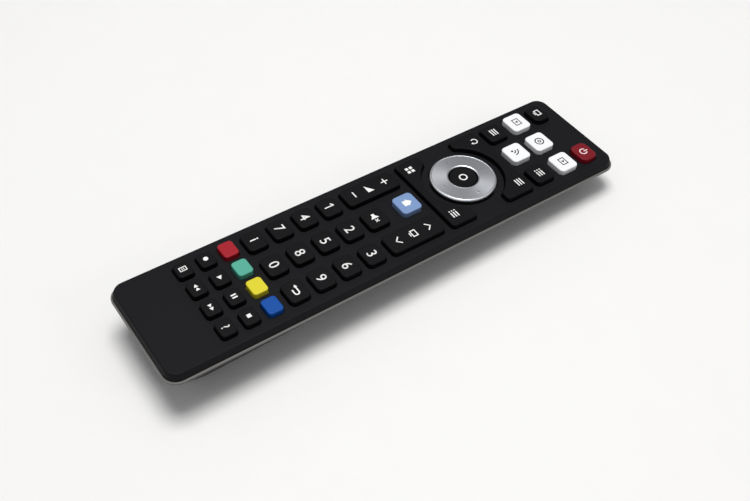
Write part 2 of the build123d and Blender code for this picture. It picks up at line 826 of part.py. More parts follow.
def board_parts():
    """Resistors and diodes under the board, in two rows."""
    parts = []
    for column in (-1, 1):
        for row in range(small_parts_a_row):
            x = column * small_part_pitch
            y = small_parts_share * face_length + row * small_part_pitch
            parts.append(Pos(x, y, -board_low - small_part_height / 2) * Box(
                small_part_width, small_part_length, small_part_height))
    return parts


def face_pieces():
    """Every node that is laid out in the face frame."""
    nodes = {"top_cover": [top_cover()], "keypad_mat": [keypad_mat()], "circuit_board": [circuit_board()]}
    nodes["contact_pads"] = contact_pads()
    for name, x, y, width, length, corner in key_places():
        nodes[name] = pressed_key(x, y, width, length, corner)
    nodes["volume_rocker"] = rocker_key(-column_pitch)
    nodes["channel_rocker"] = rocker_key(column_pitch)
    for name, span in zip(("arch_key_upper", "arch_key_lower"), arch_spans()):
        nodes[name] = arch_key(*span)
    nodes["nav_ring"] = [nav_ring()]
    nodes["nav_ring_carrier"] = nav_skirt()
    nodes["nav_pad"] = [nav_pad()]
    nodes["ok_key"] = ok_key()
    nodes["case_screws"] = case_screws()
    nodes["ir_leds"] = [ir_led(side * led_spacing / 2) for side in (-1, 1)]
    nodes["controller_chip"] = [controller_chip()]
    nodes["resonator"] = [resonator()]
    nodes["capacitor"] = [capacitor()]
    nodes["board_parts"] = board_parts()
    return nodes


def table_pieces():
    """Every node that is laid out square to the table."""
    bridge = contact_strip(0, tub_inside - 2 * cell_side_gap, False)
    return {
        "bottom_case": [bottom_case()], "battery_door": [battery_door()], "ir_window": [ir_window()],
        "battery_left": [cell(-1)], "battery_right": [cell(1)],
        "bridge_contact": [bridge, spring_coil(-cell_side, False)],
        "positive_contact": [front_contact(-1)],
        "negative_contact": [front_contact(1), spring_coil(cell_side, True)]}


def build():
    """Write one STEP file for each node, with the origin under the middle of the body."""
    os.makedirs("parts", exist_ok=True)
    nodes = {name: [on_face * solid for solid in solids] for name, solids in face_pieces().items()}
    nodes.update(table_pieces())
    box = nodes["bottom_case"][0].bounding_box()
    centre = Pos(0, -(box.min.Y + box.max.Y) / 2, -box.min.Z)
    for name, solids in nodes.items():
        placed = [centre * solid for solid in solids]
        parts = [piece for solid in placed for piece in solid.solids()]
        export_step(Compound(children=parts), f"parts/{name}.step")
        print(name, len(parts), "solids")


build()
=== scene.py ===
# %% [markdown]
# # A television remote control
# This lesson dresses a slim black remote that lies on its back on a table. The body, the keys and
# their joints come from a CAD model, which stays as it is. Here each surface gets its finish, and
# two things are modelled on top: the signs that are printed on the keys, and the spun ring.

# %% Load the model
import math

import bmesh
import bpy
from mathutils import Matrix, Vector


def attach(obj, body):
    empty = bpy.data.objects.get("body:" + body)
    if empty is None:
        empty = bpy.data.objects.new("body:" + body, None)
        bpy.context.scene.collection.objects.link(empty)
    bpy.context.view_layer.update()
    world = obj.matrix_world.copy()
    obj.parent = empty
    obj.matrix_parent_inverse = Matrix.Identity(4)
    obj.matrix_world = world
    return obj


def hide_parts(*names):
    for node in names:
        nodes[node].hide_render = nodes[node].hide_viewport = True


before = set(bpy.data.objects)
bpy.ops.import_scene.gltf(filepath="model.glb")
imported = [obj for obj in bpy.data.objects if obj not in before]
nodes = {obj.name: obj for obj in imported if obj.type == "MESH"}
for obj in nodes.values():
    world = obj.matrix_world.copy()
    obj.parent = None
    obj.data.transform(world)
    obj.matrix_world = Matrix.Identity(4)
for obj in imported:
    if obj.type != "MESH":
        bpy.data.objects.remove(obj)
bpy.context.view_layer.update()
cad_materials = len(bpy.data.materials)

# %% [markdown]
# ## Working in millimetres, on the face
# The back of the remote is deeper at the battery end, so its face leans two degrees. All the keys
# follow the face. It is easiest to model flat, in millimetres, as if the face were level, and to
# turn each finished mesh into place with one matrix. The same matrix, inverted, tells where a CAD
# key lies on the face.

# %% The face's own frame
MM = 0.001
FACE_TILT = 2.0
FACE_MIDDLE = Vector((0.0, 0.122, 18.5))
TO_WORLD = (Matrix.Scale(MM, 4) @ Matrix.Translation(FACE_MIDDLE)
            @ Matrix.Rotation(math.radians(-FACE_TILT), 4, "X"))
TO_FACE = TO_WORLD.inverted()


def face_box(node):
    """Lowest and highest corner of a CAD node, in millimetres in the face's frame."""
    points = [TO_FACE @ vertex.co for vertex in nodes[node].data.vertices]
    low = Vector([min(point[axis] for point in points) for axis in range(3)])
    high = Vector([max(point[axis] for point in points) for axis in range(3)])
    return low, high


ring_low, ring_high = face_box("nav_ring")
ring_centre = (ring_low + ring_high) / 2
print("ring centre on the face", [round(value, 2) for value in ring_centre])

# %% [markdown]
# ## The camera
# The photograph was taken from the right of the battery end, about 40 cm away, looking down at the
# remote. The camera's place and its slight roll were worked out from the outline of the face, and
# the lens from the way the long sides draw together.

# %% Place the camera
CAMERA_PLACE = Vector((207.4, -152.7, 291.0))
CAMERA_AIM = Vector((-1.01, -1.83, 0.0))
CAMERA_ROLL = 1.45
PIXEL_WIDTH = 750
FOCAL_PIXELS = 973.0

camera_data = bpy.data.cameras.new("photo_camera")
camera = bpy.data.objects.new("photo_camera", camera_data)
bpy.context.scene.collection.objects.link(camera)
camera_data.sensor_width = 36.0
camera_data.lens = camera_data.sensor_width * FOCAL_PIXELS / PIXEL_WIDTH
camera_data.clip_start = 0.01
turn = (CAMERA_AIM - CAMERA_PLACE).to_track_quat("-Z", "Y").to_matrix().to_4x4()
roll = Matrix.Rotation(math.radians(CAMERA_ROLL), 4, "Z")
camera.matrix_world = Matrix.Translation(CAMERA_PLACE * MM) @ turn @ roll
bpy.context.scene.camera = camera
print("lens", round(camera_data.lens, 1), "mm")

# %% [markdown]
# ## Colours and nodes
# Colours are picked as sRGB hex values, as in any paint program, but the renderer works with
# linear light, so one function converts them. One more function adds a shader node, sets what it
# is told and joins its inputs.


# %% Colour and node helpers
def linear(hex_colour):
    """A linear RGBA colour from an sRGB hex value."""
    channels = [int(hex_colour[start:start + 2], 16) / 255 for start in (1, 3, 5)]
    straight = [c / 12.92 if c <= 0.04045 else ((c + 0.055) / 1.055) ** 2.4 for c in channels]
    return (*straight, 1.0)


def add_node(tree, kind, inputs=None, **settings):
    """Add a shader node; an input is a plain value or another node's output."""
    node = tree.nodes.new(kind)
    for name, value in settings.items():
        setattr(node, name, value)
    for socket, value in (inputs or {}).items():
        if isinstance(value, bpy.types.NodeSocket):
            tree.links.new(value, node.inputs[socket])
        else:
            node.inputs[socket].default_value = value
    return node


def new_material(name):
    """An empty node material with a Principled shader joined to its output."""
    material = bpy.data.materials.new(name)
    material.use_nodes = True
    tree = material.node_tree
    tree.nodes.clear()
    shader = add_node(tree, "ShaderNodeBsdfPrincipled")
    add_node(tree, "ShaderNodeOutputMaterial", {"Surface": shader.outputs["BSDF"]})
    return material, tree, shader


# %% [markdown]
# ## Moulded plastics and rubbers
# Nearly all of this object is moulded. A mould leaves its own skin on the part: spark erosion gives
# the case a fine even grain, and the rubber keys come out softer and smoother. So one function
# makes every moulded finish from a colour, a grain size in millimetres and a roughness. The grain
# shows as bump and as small changes of roughness, and a slow mottle keeps large faces alive.


# %% A moulded finish
MOTTLE_MM = 18
GRAIN_STRENGTH = 0.6
GRAIN_SHINE = 0.05


def moulded(name, colour, grain_mm, grain_depth, roughness, ior, mottle=0.06, specular_level=0.5):
    """A moulded plastic or rubber with grain, mottle and its own index of refraction."""
    material, tree, shader = new_material(name)
    place = add_node(tree, "ShaderNodeTexCoord").outputs["Object"]
    grain = add_node(tree, "ShaderNodeTexNoise", {
        "Vector": place, "Scale": 1 / (grain_mm * MM), "Detail": 3.0, "Roughness": 0.6})
    slow = add_node(tree, "ShaderNodeTexNoise", {
        "Vector": place, "Scale": 1 / (MOTTLE_MM * MM), "Detail": 2.0, "Roughness": 0.5})
    base = linear(colour)
    dark = tuple(channel * (1 - mottle) for channel in base[:3]) + (1.0,)
    light = tuple(min(1.0, channel * (1 + mottle)) for channel in base[:3]) + (1.0,)
    tint = add_node(tree, "ShaderNodeMix", {
        "Factor": slow.outputs["Fac"], "A": dark, "B": light}, data_type="RGBA")
    shine = add_node(tree, "ShaderNodeMapRange", {
        "Value": grain.outputs["Fac"], "From Min": 0.3, "From Max": 0.7,
        "To Min": roughness - GRAIN_SHINE, "To Max": roughness + GRAIN_SHINE})
    bump = add_node(tree, "ShaderNodeBump", {
        "Height": grain.outputs["Fac"], "Strength": GRAIN_STRENGTH, "Distance": grain_depth * MM})
    tree.links.new(tint.outputs["Result"], shader.inputs["Base Color"])
    tree.links.new(shine.outputs["Result"], shader.inputs["Roughness"])
    tree.links.new(bump.outputs["Normal"], shader.inputs["Normal"])
    shader.inputs["IOR"].default_value = ior
    shader.inputs["Specular IOR Level"].default_value = specular_level
    return material


# %% [markdown]
# The real grain of the case is near 0.1 mm, too fine to show here, so it is drawn at 0.3 mm, and
# the face reads as a soft charcoal that never mirrors the room. The lower shell comes from another
# mould, a little plainer and browner. The coloured keys all share one skin, and so do the inks of
# the pad print, each a thin film with a satin surface.

# %% Plastics, rubbers and inks
ABS_INDEX = 1.54
SILICONE_INDEX = 1.41
INK_INDEX = 1.50


def coloured_key(name, colour, mottle, specular_level):
    """The silicone of a key that isn't black."""
    return moulded("silicone_moulded_" + name, colour, 0.22, 0.006, 0.45, SILICONE_INDEX,
                   mottle, specular_level)


def pad_print(name, colour, roughness, mottle):
    """A film of ink."""
    return moulded("pad_print_" + name, colour, 0.15, 0.004, roughness, INK_INDEX, mottle)


case_abs = moulded("abs_spark_eroded_charcoal", "#0b0b0f", 0.30, 0.020, 0.62, ABS_INDEX,
                   specular_level=0.14)
shell_abs = moulded("abs_spark_eroded_lower_shell_painted_rim_highlight", "#232120", 0.35, 0.022, 0.55, ABS_INDEX,
                    specular_level=0.35)
key_rubber = moulded("silicone_moulded_black", "#08080b", 0.22, 0.010, 0.58, SILICONE_INDEX,
                     specular_level=0.17)
white_rubber = coloured_key("white", "#f0f0f1", 0.01, 0.50)
light_blue_rubber = coloured_key("light_blue", "#7a95c1", 0.02, 0.35)
power_rubber = coloured_key("dark_red", "#780f1c", 0.03, 0.30)
red_rubber = coloured_key("red", "#a01826", 0.03, 0.30)
green_rubber = coloured_key("green", "#52a892", 0.03, 0.35)
yellow_rubber = coloured_key("yellow", "#dacd2c", 0.02, 0.35)
blue_rubber = coloured_key("blue", "#0d4c9e", 0.03, 0.25)
mat_rubber = moulded("silicone_sheet_grey", "#4a4b4d", 0.40, 0.020, 0.62, SILICONE_INDEX)
carrier_abs = moulded("abs_moulded_ring_carrier", "#151517", 0.30, 0.012, 0.50, ABS_INDEX)
white_ink = pad_print("white", "#f2f2ef", 0.45, 0.01)
black_ink = pad_print("black", "#17171a", 0.40, 0.02)
pale_ink = pad_print("pale_pink", "#f3dfe0", 0.45, 0.01)
print("moulded finishes", len(bpy.data.materials) - cad_materials)

# %% [markdown]
# ### The pale rim: partly a painted highlight
# Where the two shells meet, the lower one ends in a narrow upright rim that shows as a thin pale
# line round the remote. It is the same plastic as the shell, polished in the mould, which gives its
# sheen. Its paler colour is partly a lighter grey of its own and partly a painted highlight of the
# light on its ledge, while the body below stays dark. So colour and sheen change at one height
# below the face. A dot product with the face's own normal measures that height anywhere on the
# shell.

# %% Paint the rim's highlight into the lower shell
RIM_HEIGHT = -3.62
RIM_BLEND = 0.05
# The rim's colour: its own paler grey with a painted highlight of the light on its ledge.
RIM_HIGHLIGHT_COLOUR = "#6b6966"
RIM_ROUGHNESS = 0.35


def pale_above(material, colour, roughness, height_mm):
    """Paint a highlight colour and roughness onto a finish above a height in the face's frame."""
    tree = material.node_tree
    shader = next(node for node in tree.nodes if node.type == "BSDF_PRINCIPLED")
    normal = TO_WORLD.to_3x3().col[2].normalized()
    level = (TO_WORLD @ Vector((0, 0, height_mm))).dot(normal)
    place = add_node(tree, "ShaderNodeTexCoord").outputs["Object"]
    height = add_node(tree, "ShaderNodeVectorMath", {0: place, 1: tuple(normal)},
                      operation="DOT_PRODUCT")
    above = add_node(tree, "ShaderNodeMapRange", {
        "Value": height.outputs["Value"], "From Min": level - RIM_BLEND * MM,
        "From Max": level + RIM_BLEND * MM}).outputs["Result"]
    tint = add_node(tree, "ShaderNodeMix", {
        "Factor": above, "A": shader.inputs["Base Color"].links[0].from_socket,
        "B": linear(colour)}, data_type="RGBA")
    shine = add_node(tree, "ShaderNodeMix", {
        "Factor": above, "A": shader.inputs["Roughness"].links[0].from_socket, "B": roughness})
    tree.links.new(tint.outputs["Result"], shader.inputs["Base Color"])
    tree.links.new(shine.outputs["Result"], shader.inputs["Roughness"])


# Paint the rim's highlight, a lighter grey, onto the lower shell above the rim height.
pale_above(shell_abs, RIM_HIGHLIGHT_COLOUR, RIM_ROUGHNESS, RIM_HEIGHT)
print("the pale rim ends", -RIM_HEIGHT, "mm below the face")

# %% [markdown]
# ## Metals, glass-like plastic and electronics
# The battery contacts and screws are plated steel, the contact pads are gold over copper, and the
# infrared window is a dark clear polycarbonate that only infrared light passes. The circuit board
# is glass fibre under a green solder mask, whose copper tracks show as slightly raised lines.


# %% Plated metal
SCRATCH_STRETCH = 0.08
SCRATCH_DEPTH = 0.01
SCRATCH_DULLER = 0.12
SCRATCH_SHINIER = 0.08


def plated(name, colour, roughness, scratch_mm):
    """A plated metal with fine drawn scratches; a metal keeps the default index."""
    material, tree, shader = new_material(name)
    place = add_node(tree, "ShaderNodeTexCoord").outputs["Object"]
    stretch = add_node(tree, "ShaderNodeMapping", {
        "Vector": place, "Scale": (1.0, SCRATCH_STRETCH, 1.0)})
    lines = add_node(tree, "ShaderNodeTexNoise", {
        "Vector": stretch.outputs["Vector"], "Scale": 1 / (scratch_mm * MM), "Detail": 4.0})
    shine = add_node(tree, "ShaderNodeMapRange", {
        "Value": lines.outputs["Fac"], "To Min": roughness - SCRATCH_SHINIER,
        "To Max": roughness + SCRATCH_DULLER})
    bump = add_node(tree, "ShaderNodeBump", {
        "Height": lines.outputs["Fac"], "Strength": 0.3, "Distance": SCRATCH_DEPTH * MM})
    tree.links.new(shine.outputs["Result"], shader.inputs["Roughness"])
    tree.links.new(bump.outputs["Normal"], shader.inputs["Normal"])
    shader.inputs["Base Color"].default_value = linear(colour)
    shader.inputs["Metallic"].default_value = 1.0
    return material


# %% Solder mask
EPOXY_INDEX = 1.55
# At a scale of one, a row of the brick texture is a quarter of a unit high.
BRICK_ROW = 0.25
TRACK_SPACING_MM = 1.25
TRACK_WIDTH = 0.05
TRACK_DEPTH = 0.04


def solder_mask(name):
    """Green solder mask over copper tracks, drawn as raised lines."""
    material, tree, shader = new_material(name)
    place = add_node(tree, "ShaderNodeTexCoord").outputs["Object"]
    tracks = add_node(tree, "ShaderNodeTexBrick", {
        "Vector": place, "Scale": BRICK_ROW / (TRACK_SPACING_MM * MM), "Mortar Size": TRACK_WIDTH,
        "Color1": linear("#0d4a22"), "Color2": linear("#0f5427"), "Mortar": linear("#1d7a3c")})
    bump = add_node(tree, "ShaderNodeBump", {
        "Height": tracks.outputs["Fac"], "Strength": 0.5, "Distance": TRACK_DEPTH * MM})
    tree.links.new(tracks.outputs["Color"], shader.inputs["Base Color"])
    tree.links.new(bump.outputs["Normal"], shader.inputs["Normal"])
    shader.inputs["Roughness"].default_value = 0.28
    shader.inputs["IOR"].default_value = EPOXY_INDEX
    return material


# %% Metals, electronics and clear plastics
CERAMIC_COAT_INDEX = 1.60
POLYCARBONATE_INDEX = 1.585

spring_steel = plated("steel_nickel_plated_drawn", "#c9c4b8", 0.28, 0.20)
screw_steel = plated("steel_zinc_plated_turned", "#8d8f93", 0.35, 0.25)
pad_gold = plated("copper_gold_plated", "#e3bd62", 0.30, 0.30)
can_steel = plated("steel_can_sleeved_blue", "#27407e", 0.35, 0.40)
cell_jacket = plated("steel_cell_film_jacket", "#8a8c90", 0.30, 0.40)
board_mask = solder_mask("glass_fibre_solder_mask_green")
chip_epoxy = moulded("epoxy_moulded_black", "#1c1c1d", 0.12, 0.010, 0.60, EPOXY_INDEX)
ceramic_dip = moulded("ceramic_dip_coated_tan", "#b9722c", 0.40, 0.010, 0.35, CERAMIC_COAT_INDEX)
window_pc = moulded("polycarbonate_polished_dark", "#1a0508", 3.0, 0.002, 0.10,
                    POLYCARBONATE_INDEX)
led_epoxy = moulded("epoxy_cast_clear_blue", "#8794b8", 1.0, 0.002, 0.10, EPOXY_INDEX)
print("finishes", len(bpy.data.materials) - cad_materials)

# %% [markdown]
# ## The spun silver finish of the ring
# The direction ring looks like turned aluminium: fine grooves run round it, so a lamp spreads
# along two bright sectors that face it and leaves the sectors between them darker. The grooves are
# a wave of rings about the ring's own centre. The shader's anisotropy turns with them, because its
# tangent is made from the place on the ring.


# %% Spun aluminium
# At a scale of one, the wave texture repeats every twentieth of a full turn.
WAVE_PERIOD = math.tau / 20
GROOVE_MM = 0.35
GROOVE_DEPTH = 0.004
SPUN_ROUGHNESS = (0.30, 0.40)


def spun_aluminium(name, centre):
    """Aluminium with concentric turning grooves about a centre given in the world, in metres."""
    material, tree, shader = new_material(name)
    place = add_node(tree, "ShaderNodeTexCoord").outputs["Object"]
    local = add_node(tree, "ShaderNodeVectorMath", {0: place, 1: tuple(centre)},
                     operation="SUBTRACT")
    grooves = add_node(tree, "ShaderNodeTexWave", {
        "Vector": local.outputs["Vector"], "Scale": WAVE_PERIOD / (GROOVE_MM * MM),
        "Distortion": 0.4, "Detail": 2.0, "Detail Scale": 3.0},
        wave_type="RINGS", rings_direction="Z")
    shine = add_node(tree, "ShaderNodeMapRange", {
        "Value": grooves.outputs["Fac"], "To Min": SPUN_ROUGHNESS[0], "To Max": SPUN_ROUGHNESS[1]})
    bump = add_node(tree, "ShaderNodeBump", {
        "Height": grooves.outputs["Fac"], "Strength": 0.10, "Distance": GROOVE_DEPTH * MM})
    along = add_node(tree, "ShaderNodeVectorMath", {
        0: (0.0, 0.0, 1.0), 1: local.outputs["Vector"]}, operation="CROSS_PRODUCT")
    tangent = add_node(tree, "ShaderNodeVectorMath", {0: along.outputs["Vector"]},
                       operation="NORMALIZE")
    tree.links.new(shine.outputs["Result"], shader.inputs["Roughness"])
    tree.links.new(bump.outputs["Normal"], shader.inputs["Normal"])
    tree.links.new(tangent.outputs["Vector"], shader.inputs["Tangent"])
    shader.inputs["Base Color"].default_value = linear("#b9bbbf")
    shader.inputs["Metallic"].default_value = 0.85
    shader.inputs["Anisotropic"].default_value = 0.6
    return material


ring_metal = spun_aluminium("aluminium_spun_satin", TO_WORLD @ ring_centre)
print("groove spacing", GROOVE_MM, "mm")

# %% [markdown]
# ## Turning the ring
# The CAD ring has plain bevels. The turned one gets a rounded bright rim with a fine groove inside
# it and a lip at the hole. Its section is drawn once, on one side, and spun about the ring's own
# axis. Each point of the section is an inset from the rim or from the hole, and a drop below the
# crown, in millimetres. Four small raised arrows point along the four directions.


# %% From a bmesh to an object
def mesh_object(name, sheet, material):
    """Turn a finished bmesh into an object with one material."""
    mesh = bpy.data.meshes.new(name)
    sheet.to_mesh(mesh)
    sheet.free()
    mesh.materials.append(material)
    piece = bpy.data.objects.new(name, mesh)
    bpy.context.scene.collection.objects.link(piece)
    return piece


# %% Spin the ring and add its arrows
RING_HOLE = 6.1
RING_STEPS = 128
RIM_SECTION = [(0.0, 0.75), (0.10, 0.55), (0.30, 0.42), (0.60, 0.36), (0.75, 0.41), (0.90, 0.34)]
LIP_SECTION = [(0.60, 0.02), (0.48, 0.07), (0.36, 0.0), (0.12, 0.08), (0.0, 0.28)]
SHARP_ANGLE = 10
ARROW_REACH = 9.8
ARROW_SIZE = 1.0
ARROW_TAPER = 0.7
# An arrow's middle lies a drop below the crown, and its top a rise above its middle.
ARROW_DROP = 0.16
ARROW_RISE = 0.22

ring_outer = (ring_high.x - ring_low.x) / 2
ring_crown = ring_high.z
section = [(RING_HOLE, ring_low.z), (ring_outer, ring_low.z)]
section += [(ring_outer - inset, ring_crown - drop) for inset, drop in RIM_SECTION]
section += [(RING_HOLE + inset, ring_crown - drop) for inset, drop in LIP_SECTION]
ring_sheet = bmesh.new()
corners = [ring_sheet.verts.new((radius, 0, height)) for radius, height in section]
edges = [ring_sheet.edges.new((corners[i - 1], corners[i])) for i in range(len(corners))]
bmesh.ops.spin(ring_sheet, geom=corners + edges, cent=(0, 0, 0), axis=(0, 0, 1),
               angle=math.tau, steps=RING_STEPS, use_merge=True)
for quarter in range(4):
    place = (Matrix.Rotation(quarter * math.pi / 2, 4, "Z")
             @ Matrix.Translation((0, ARROW_REACH, ring_crown - ARROW_DROP)))
    bmesh.ops.create_cone(ring_sheet, cap_ends=True, segments=3, radius1=ARROW_SIZE,
                          radius2=ARROW_SIZE * ARROW_TAPER, depth=2 * ARROW_RISE, matrix=place)
bmesh.ops.recalc_face_normals(ring_sheet, faces=ring_sheet.faces)
bmesh.ops.transform(ring_sheet, verts=ring_sheet.verts,
                    matrix=TO_WORLD @ Matrix.Translation((ring_centre.x, ring_centre.y, 0)))
turned_ring = mesh_object("turned_ring", ring_sheet, ring_metal)
turned_ring.data.shade_smooth()
turned_ring.data.set_sharp_from_angle(angle=math.radians(SHARP_ANGLE))
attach(turned_ring, "nav_ring")
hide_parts("nav_ring")
print("ring faces", len(turned_ring.data.polygons))

# %% [markdown]
# ## Dressing the CAD pieces
# Each CAD piece keeps its mesh and only gets its finish. A table from finish to pieces is easier to
# read and to check than sixty separate lines.

# %% Give each CAD piece its finish
dressing = {
    case_abs: ["top_cover"],
    shell_abs: ["bottom_case", "battery_door"],
    white_rubber: ["source_key_left", "source_key_middle", "source_key_right", "source_key_lower"],
    light_blue_rubber: ["home_key"],
    power_rubber: ["power_key"],
    red_rubber: ["red_key"],
    green_rubber: ["green_key"],
    yellow_rubber: ["yellow_key"],
    blue_rubber: ["blue_key"],
    mat_rubber: ["keypad_mat", "nav_pad"],
    carrier_abs: ["nav_ring_carrier"],
    ring_metal: ["nav_ring"],
    board_mask: ["circuit_board"],
    pad_gold: ["contact_pads"],
    chip_epoxy: ["controller_chip", "board_parts"],
    ceramic_dip: ["resonator"],
    can_steel: ["capacitor"],
    window_pc: ["ir_window"],
    led_epoxy: ["ir_leds"],
    screw_steel: ["case_screws"],
    cell_jacket: ["battery_left", "battery_right"],
    spring_steel: ["bridge_contact", "positive_contact", "negative_contact"],
}
finish_of = {node: finish for finish, members in dressing.items() for node in members}
for name, node in nodes.items():
    node.data.materials.clear()
    node.data.materials.append(finish_of.get(name, key_rubber))
print("dressed", len(nodes), "black keys", len(nodes) - len(finish_of))

# %% [markdown]
# ## Printed signs
# The signs on the keys are pad printed: a film of ink a few hundredths of a millimetre thick. Each
# sign is drawn flat from a few simple strokes, then extruded by the film's thickness and laid on
# its key's top. Digits start as text, because a font already has good numerals. A stroke is a
# stretched grid, a round stroke is a short line spun about a centre, and an arrow head is a
# three-sided circle. All their sizes are in millimetres and their angles in degrees.

# %% Straight and round strokes
STROKE = 0.55
ARC_STEP = 10
LEAST_ARC_STEPS = 6


def bar(sheet, x, y, length, width=STROKE, angle=0.0):
    """A straight stroke centred on a point."""
    shape = (Matrix.Translation((x, y, 0)) @ Matrix.Rotation(math.radians(angle), 4, "Z")
             @ Matrix.Diagonal((length, width, 1, 1)))
    bmesh.ops.create_grid(sheet, x_segments=1, y_segments=1, size=0.5, matrix=shape)


def arc(sheet, x, y, radius, width=STROKE, start=0.0, sweep=360.0):
    """A round stroke: a short radial line spun about its centre."""
    inner = sheet.verts.new((radius - width / 2, 0, 0))
    outer = sheet.verts.new((radius + width / 2, 0, 0))
    line = sheet.edges.new((inner, outer))
    around = Matrix.Translation((x, y, 0)) @ Matrix.Rotation(math.radians(start), 4, "Z")
    bmesh.ops.transform(sheet, matrix=around, verts=[inner, outer])
    bmesh.ops.spin(sheet, geom=[inner, outer, line], cent=(x, y, 0), axis=(0, 0, 1),
                   angle=math.radians(sweep), use_merge=sweep >= 360,
                   steps=max(LEAST_ARC_STEPS, int(sweep / ARC_STEP)))


# %% Filled shapes, heads and outlines
DISC_CORNERS = 24
THIN_STROKE = 0.45


def polygon(sheet, *corners):
    """A filled shape, given by its corners."""
    sheet.faces.new([sheet.verts.new((x, y, 0)) for x, y in corners])


def blob(sheet, x, y, radius, corners=DISC_CORNERS, angle=0.0, stretch=(1, 1)):
    """A filled disc, or a triangle when it has three corners."""
    shape = (Matrix.Translation((x, y, 0)) @ Matrix.Diagonal((*stretch, 1, 1))
             @ Matrix.Rotation(math.radians(angle), 4, "Z"))
    bmesh.ops.create_circle(sheet, cap_ends=True, segments=corners, radius=radius, matrix=shape)


def head(sheet, x, y, size, angle):
    """An arrow head that points along an angle, counted from the key's right."""
    blob(sheet, x, y, size, corners=3, angle=angle - 90)


def chevron(sheet, x, y, size, angle, width=THIN_STROKE):
    """Two strokes that meet in a point, pointing along an angle."""
    lean = math.radians(angle)
    reach = (size - width) / 2 * math.sin(math.pi / 4)
    for side in (-1, 1):
        across = Vector((-math.sin(lean), math.cos(lean))) * side * reach
        bar(sheet, x + across.x, y + across.y, size, width, angle=angle - side * 45)


def outline(sheet, width, height, line=THIN_STROKE):
    """An upright rectangle drawn as four strokes that meet at their ends."""
    for side in (-1, 1):
        bar(sheet, 0, side * (height - line) / 2, width, line)
        bar(sheet, side * (width - line) / 2, 0, height - 2 * line, line, 90)


# %% [markdown]
# The font's numerals are turned into a mesh before they are moved, because a text object's own
# place would be lost in the export. They are scaled to the height of the printed digits.


# %% Numerals from a font
# The outline is pushed out a little, because the printed strokes are bolder than the font's.
FONT_WEIGHT = 0.005
FONT_RESOLUTION = 6
MERGE_DISTANCE = 1e-5


def numeral(sheet, text, height):
    """Fill an empty sheet with a font character, centred and scaled to a height."""
    curve = bpy.data.curves.new("numeral", "FONT")
    curve.body = text
    curve.resolution_u = FONT_RESOLUTION
    curve.offset = FONT_WEIGHT
    holder = bpy.data.objects.new("numeral", curve)
    bpy.context.scene.collection.objects.link(holder)
    bpy.context.view_layer.update()
    drawn = holder.evaluated_get(bpy.context.evaluated_depsgraph_get())
    sheet.from_mesh(bpy.data.meshes.new_from_object(drawn))
    bpy.data.objects.remove(holder)
    bmesh.ops.remove_doubles(sheet, verts=sheet.verts, dist=MERGE_DISTANCE)
    low = Vector((min(v.co.x for v in sheet.verts), min(v.co.y for v in sheet.verts), 0))
    high = Vector((max(v.co.x for v in sheet.verts), max(v.co.y for v in sheet.verts), 0))
    size = height / (high.y - low.y)
    bmesh.ops.translate(sheet, verts=sheet.verts, vec=-(low + high) / 2)
    bmesh.ops.scale(sheet, verts=sheet.verts, vec=(size, size, 1))


# %% Lay a sign on its key
INK_THICKNESS = 0.03


def print_sign(name, key, ink, strokes, x=0.0, y=0.0):
    """Draw a sign, give it the film's thickness and lay it on the key's top."""
    sheet = bmesh.new()
    for stroke, *values in strokes:
        stroke(sheet, *values)
    low, high = face_box(key)
    middle = (low + high) / 2
    bottom = sheet.faces[:]
    for face in bottom:
        if face.normal.z < 0:
            face.normal_flip()
    grown = bmesh.ops.extrude_face_region(sheet, geom=bottom, use_keep_orig=True)
    top = [item for item in grown["geom"] if isinstance(item, bmesh.types.BMVert)]
    bmesh.ops.translate(sheet, verts=top, vec=(0, 0, INK_THICKNESS))
    bmesh.ops.recalc_face_normals(sheet, faces=sheet.faces)
    place = Matrix.Translation((middle.x + x, middle.y + y, high.z))
    bmesh.ops.transform(sheet, matrix=TO_WORLD @ place, verts=sheet.verts)
    piece = mesh_object(name, sheet, ink)
    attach(piece, key)


# %% [markdown]
# ### Digits
# The ten digits share one height. The font's one is a bare stroke, so here it is drawn with the
# flag that the printed digit has.

# %% Print the digits
DIGIT_HEIGHT = 4.1
DIGIT_STROKE = 0.5
STEM_PLACE = 0.35
FLAG_LENGTH = 1.35
FLAG_ANGLE = 38
FLAG_OVERLAP = 0.1
FLAG_DROP = 0.2

flag_width = FLAG_LENGTH * math.cos(math.radians(FLAG_ANGLE))
flag_height = FLAG_LENGTH * math.sin(math.radians(FLAG_ANGLE))
digit_strokes = [[(numeral, str(digit), DIGIT_HEIGHT)] for digit in range(10)]
digit_strokes[1] = [
    (bar, STEM_PLACE, 0, DIGIT_HEIGHT, DIGIT_STROKE, 90),
    (bar, STEM_PLACE - (DIGIT_STROKE + flag_width) / 2 + FLAG_OVERLAP,
     (DIGIT_HEIGHT - flag_height) / 2 - FLAG_DROP, FLAG_LENGTH, DIGIT_STROKE, FLAG_ANGLE)]
for digit, strokes in enumerate(digit_strokes):
    print_sign(f"digit_{digit}_sign", f"digit_{digit}_key", white_ink, strokes)
print("digits printed", len(digit_strokes))

# %% [markdown]
# ### Small signs
# The other small keys carry plain signs, among them those of a player: play, pause, stop, record,
# rewind and forward. A sign is a list of strokes. Each stroke is a function with the place, sizes
# and angle that it takes, in its own order, so a drawing is a table and not one more function.

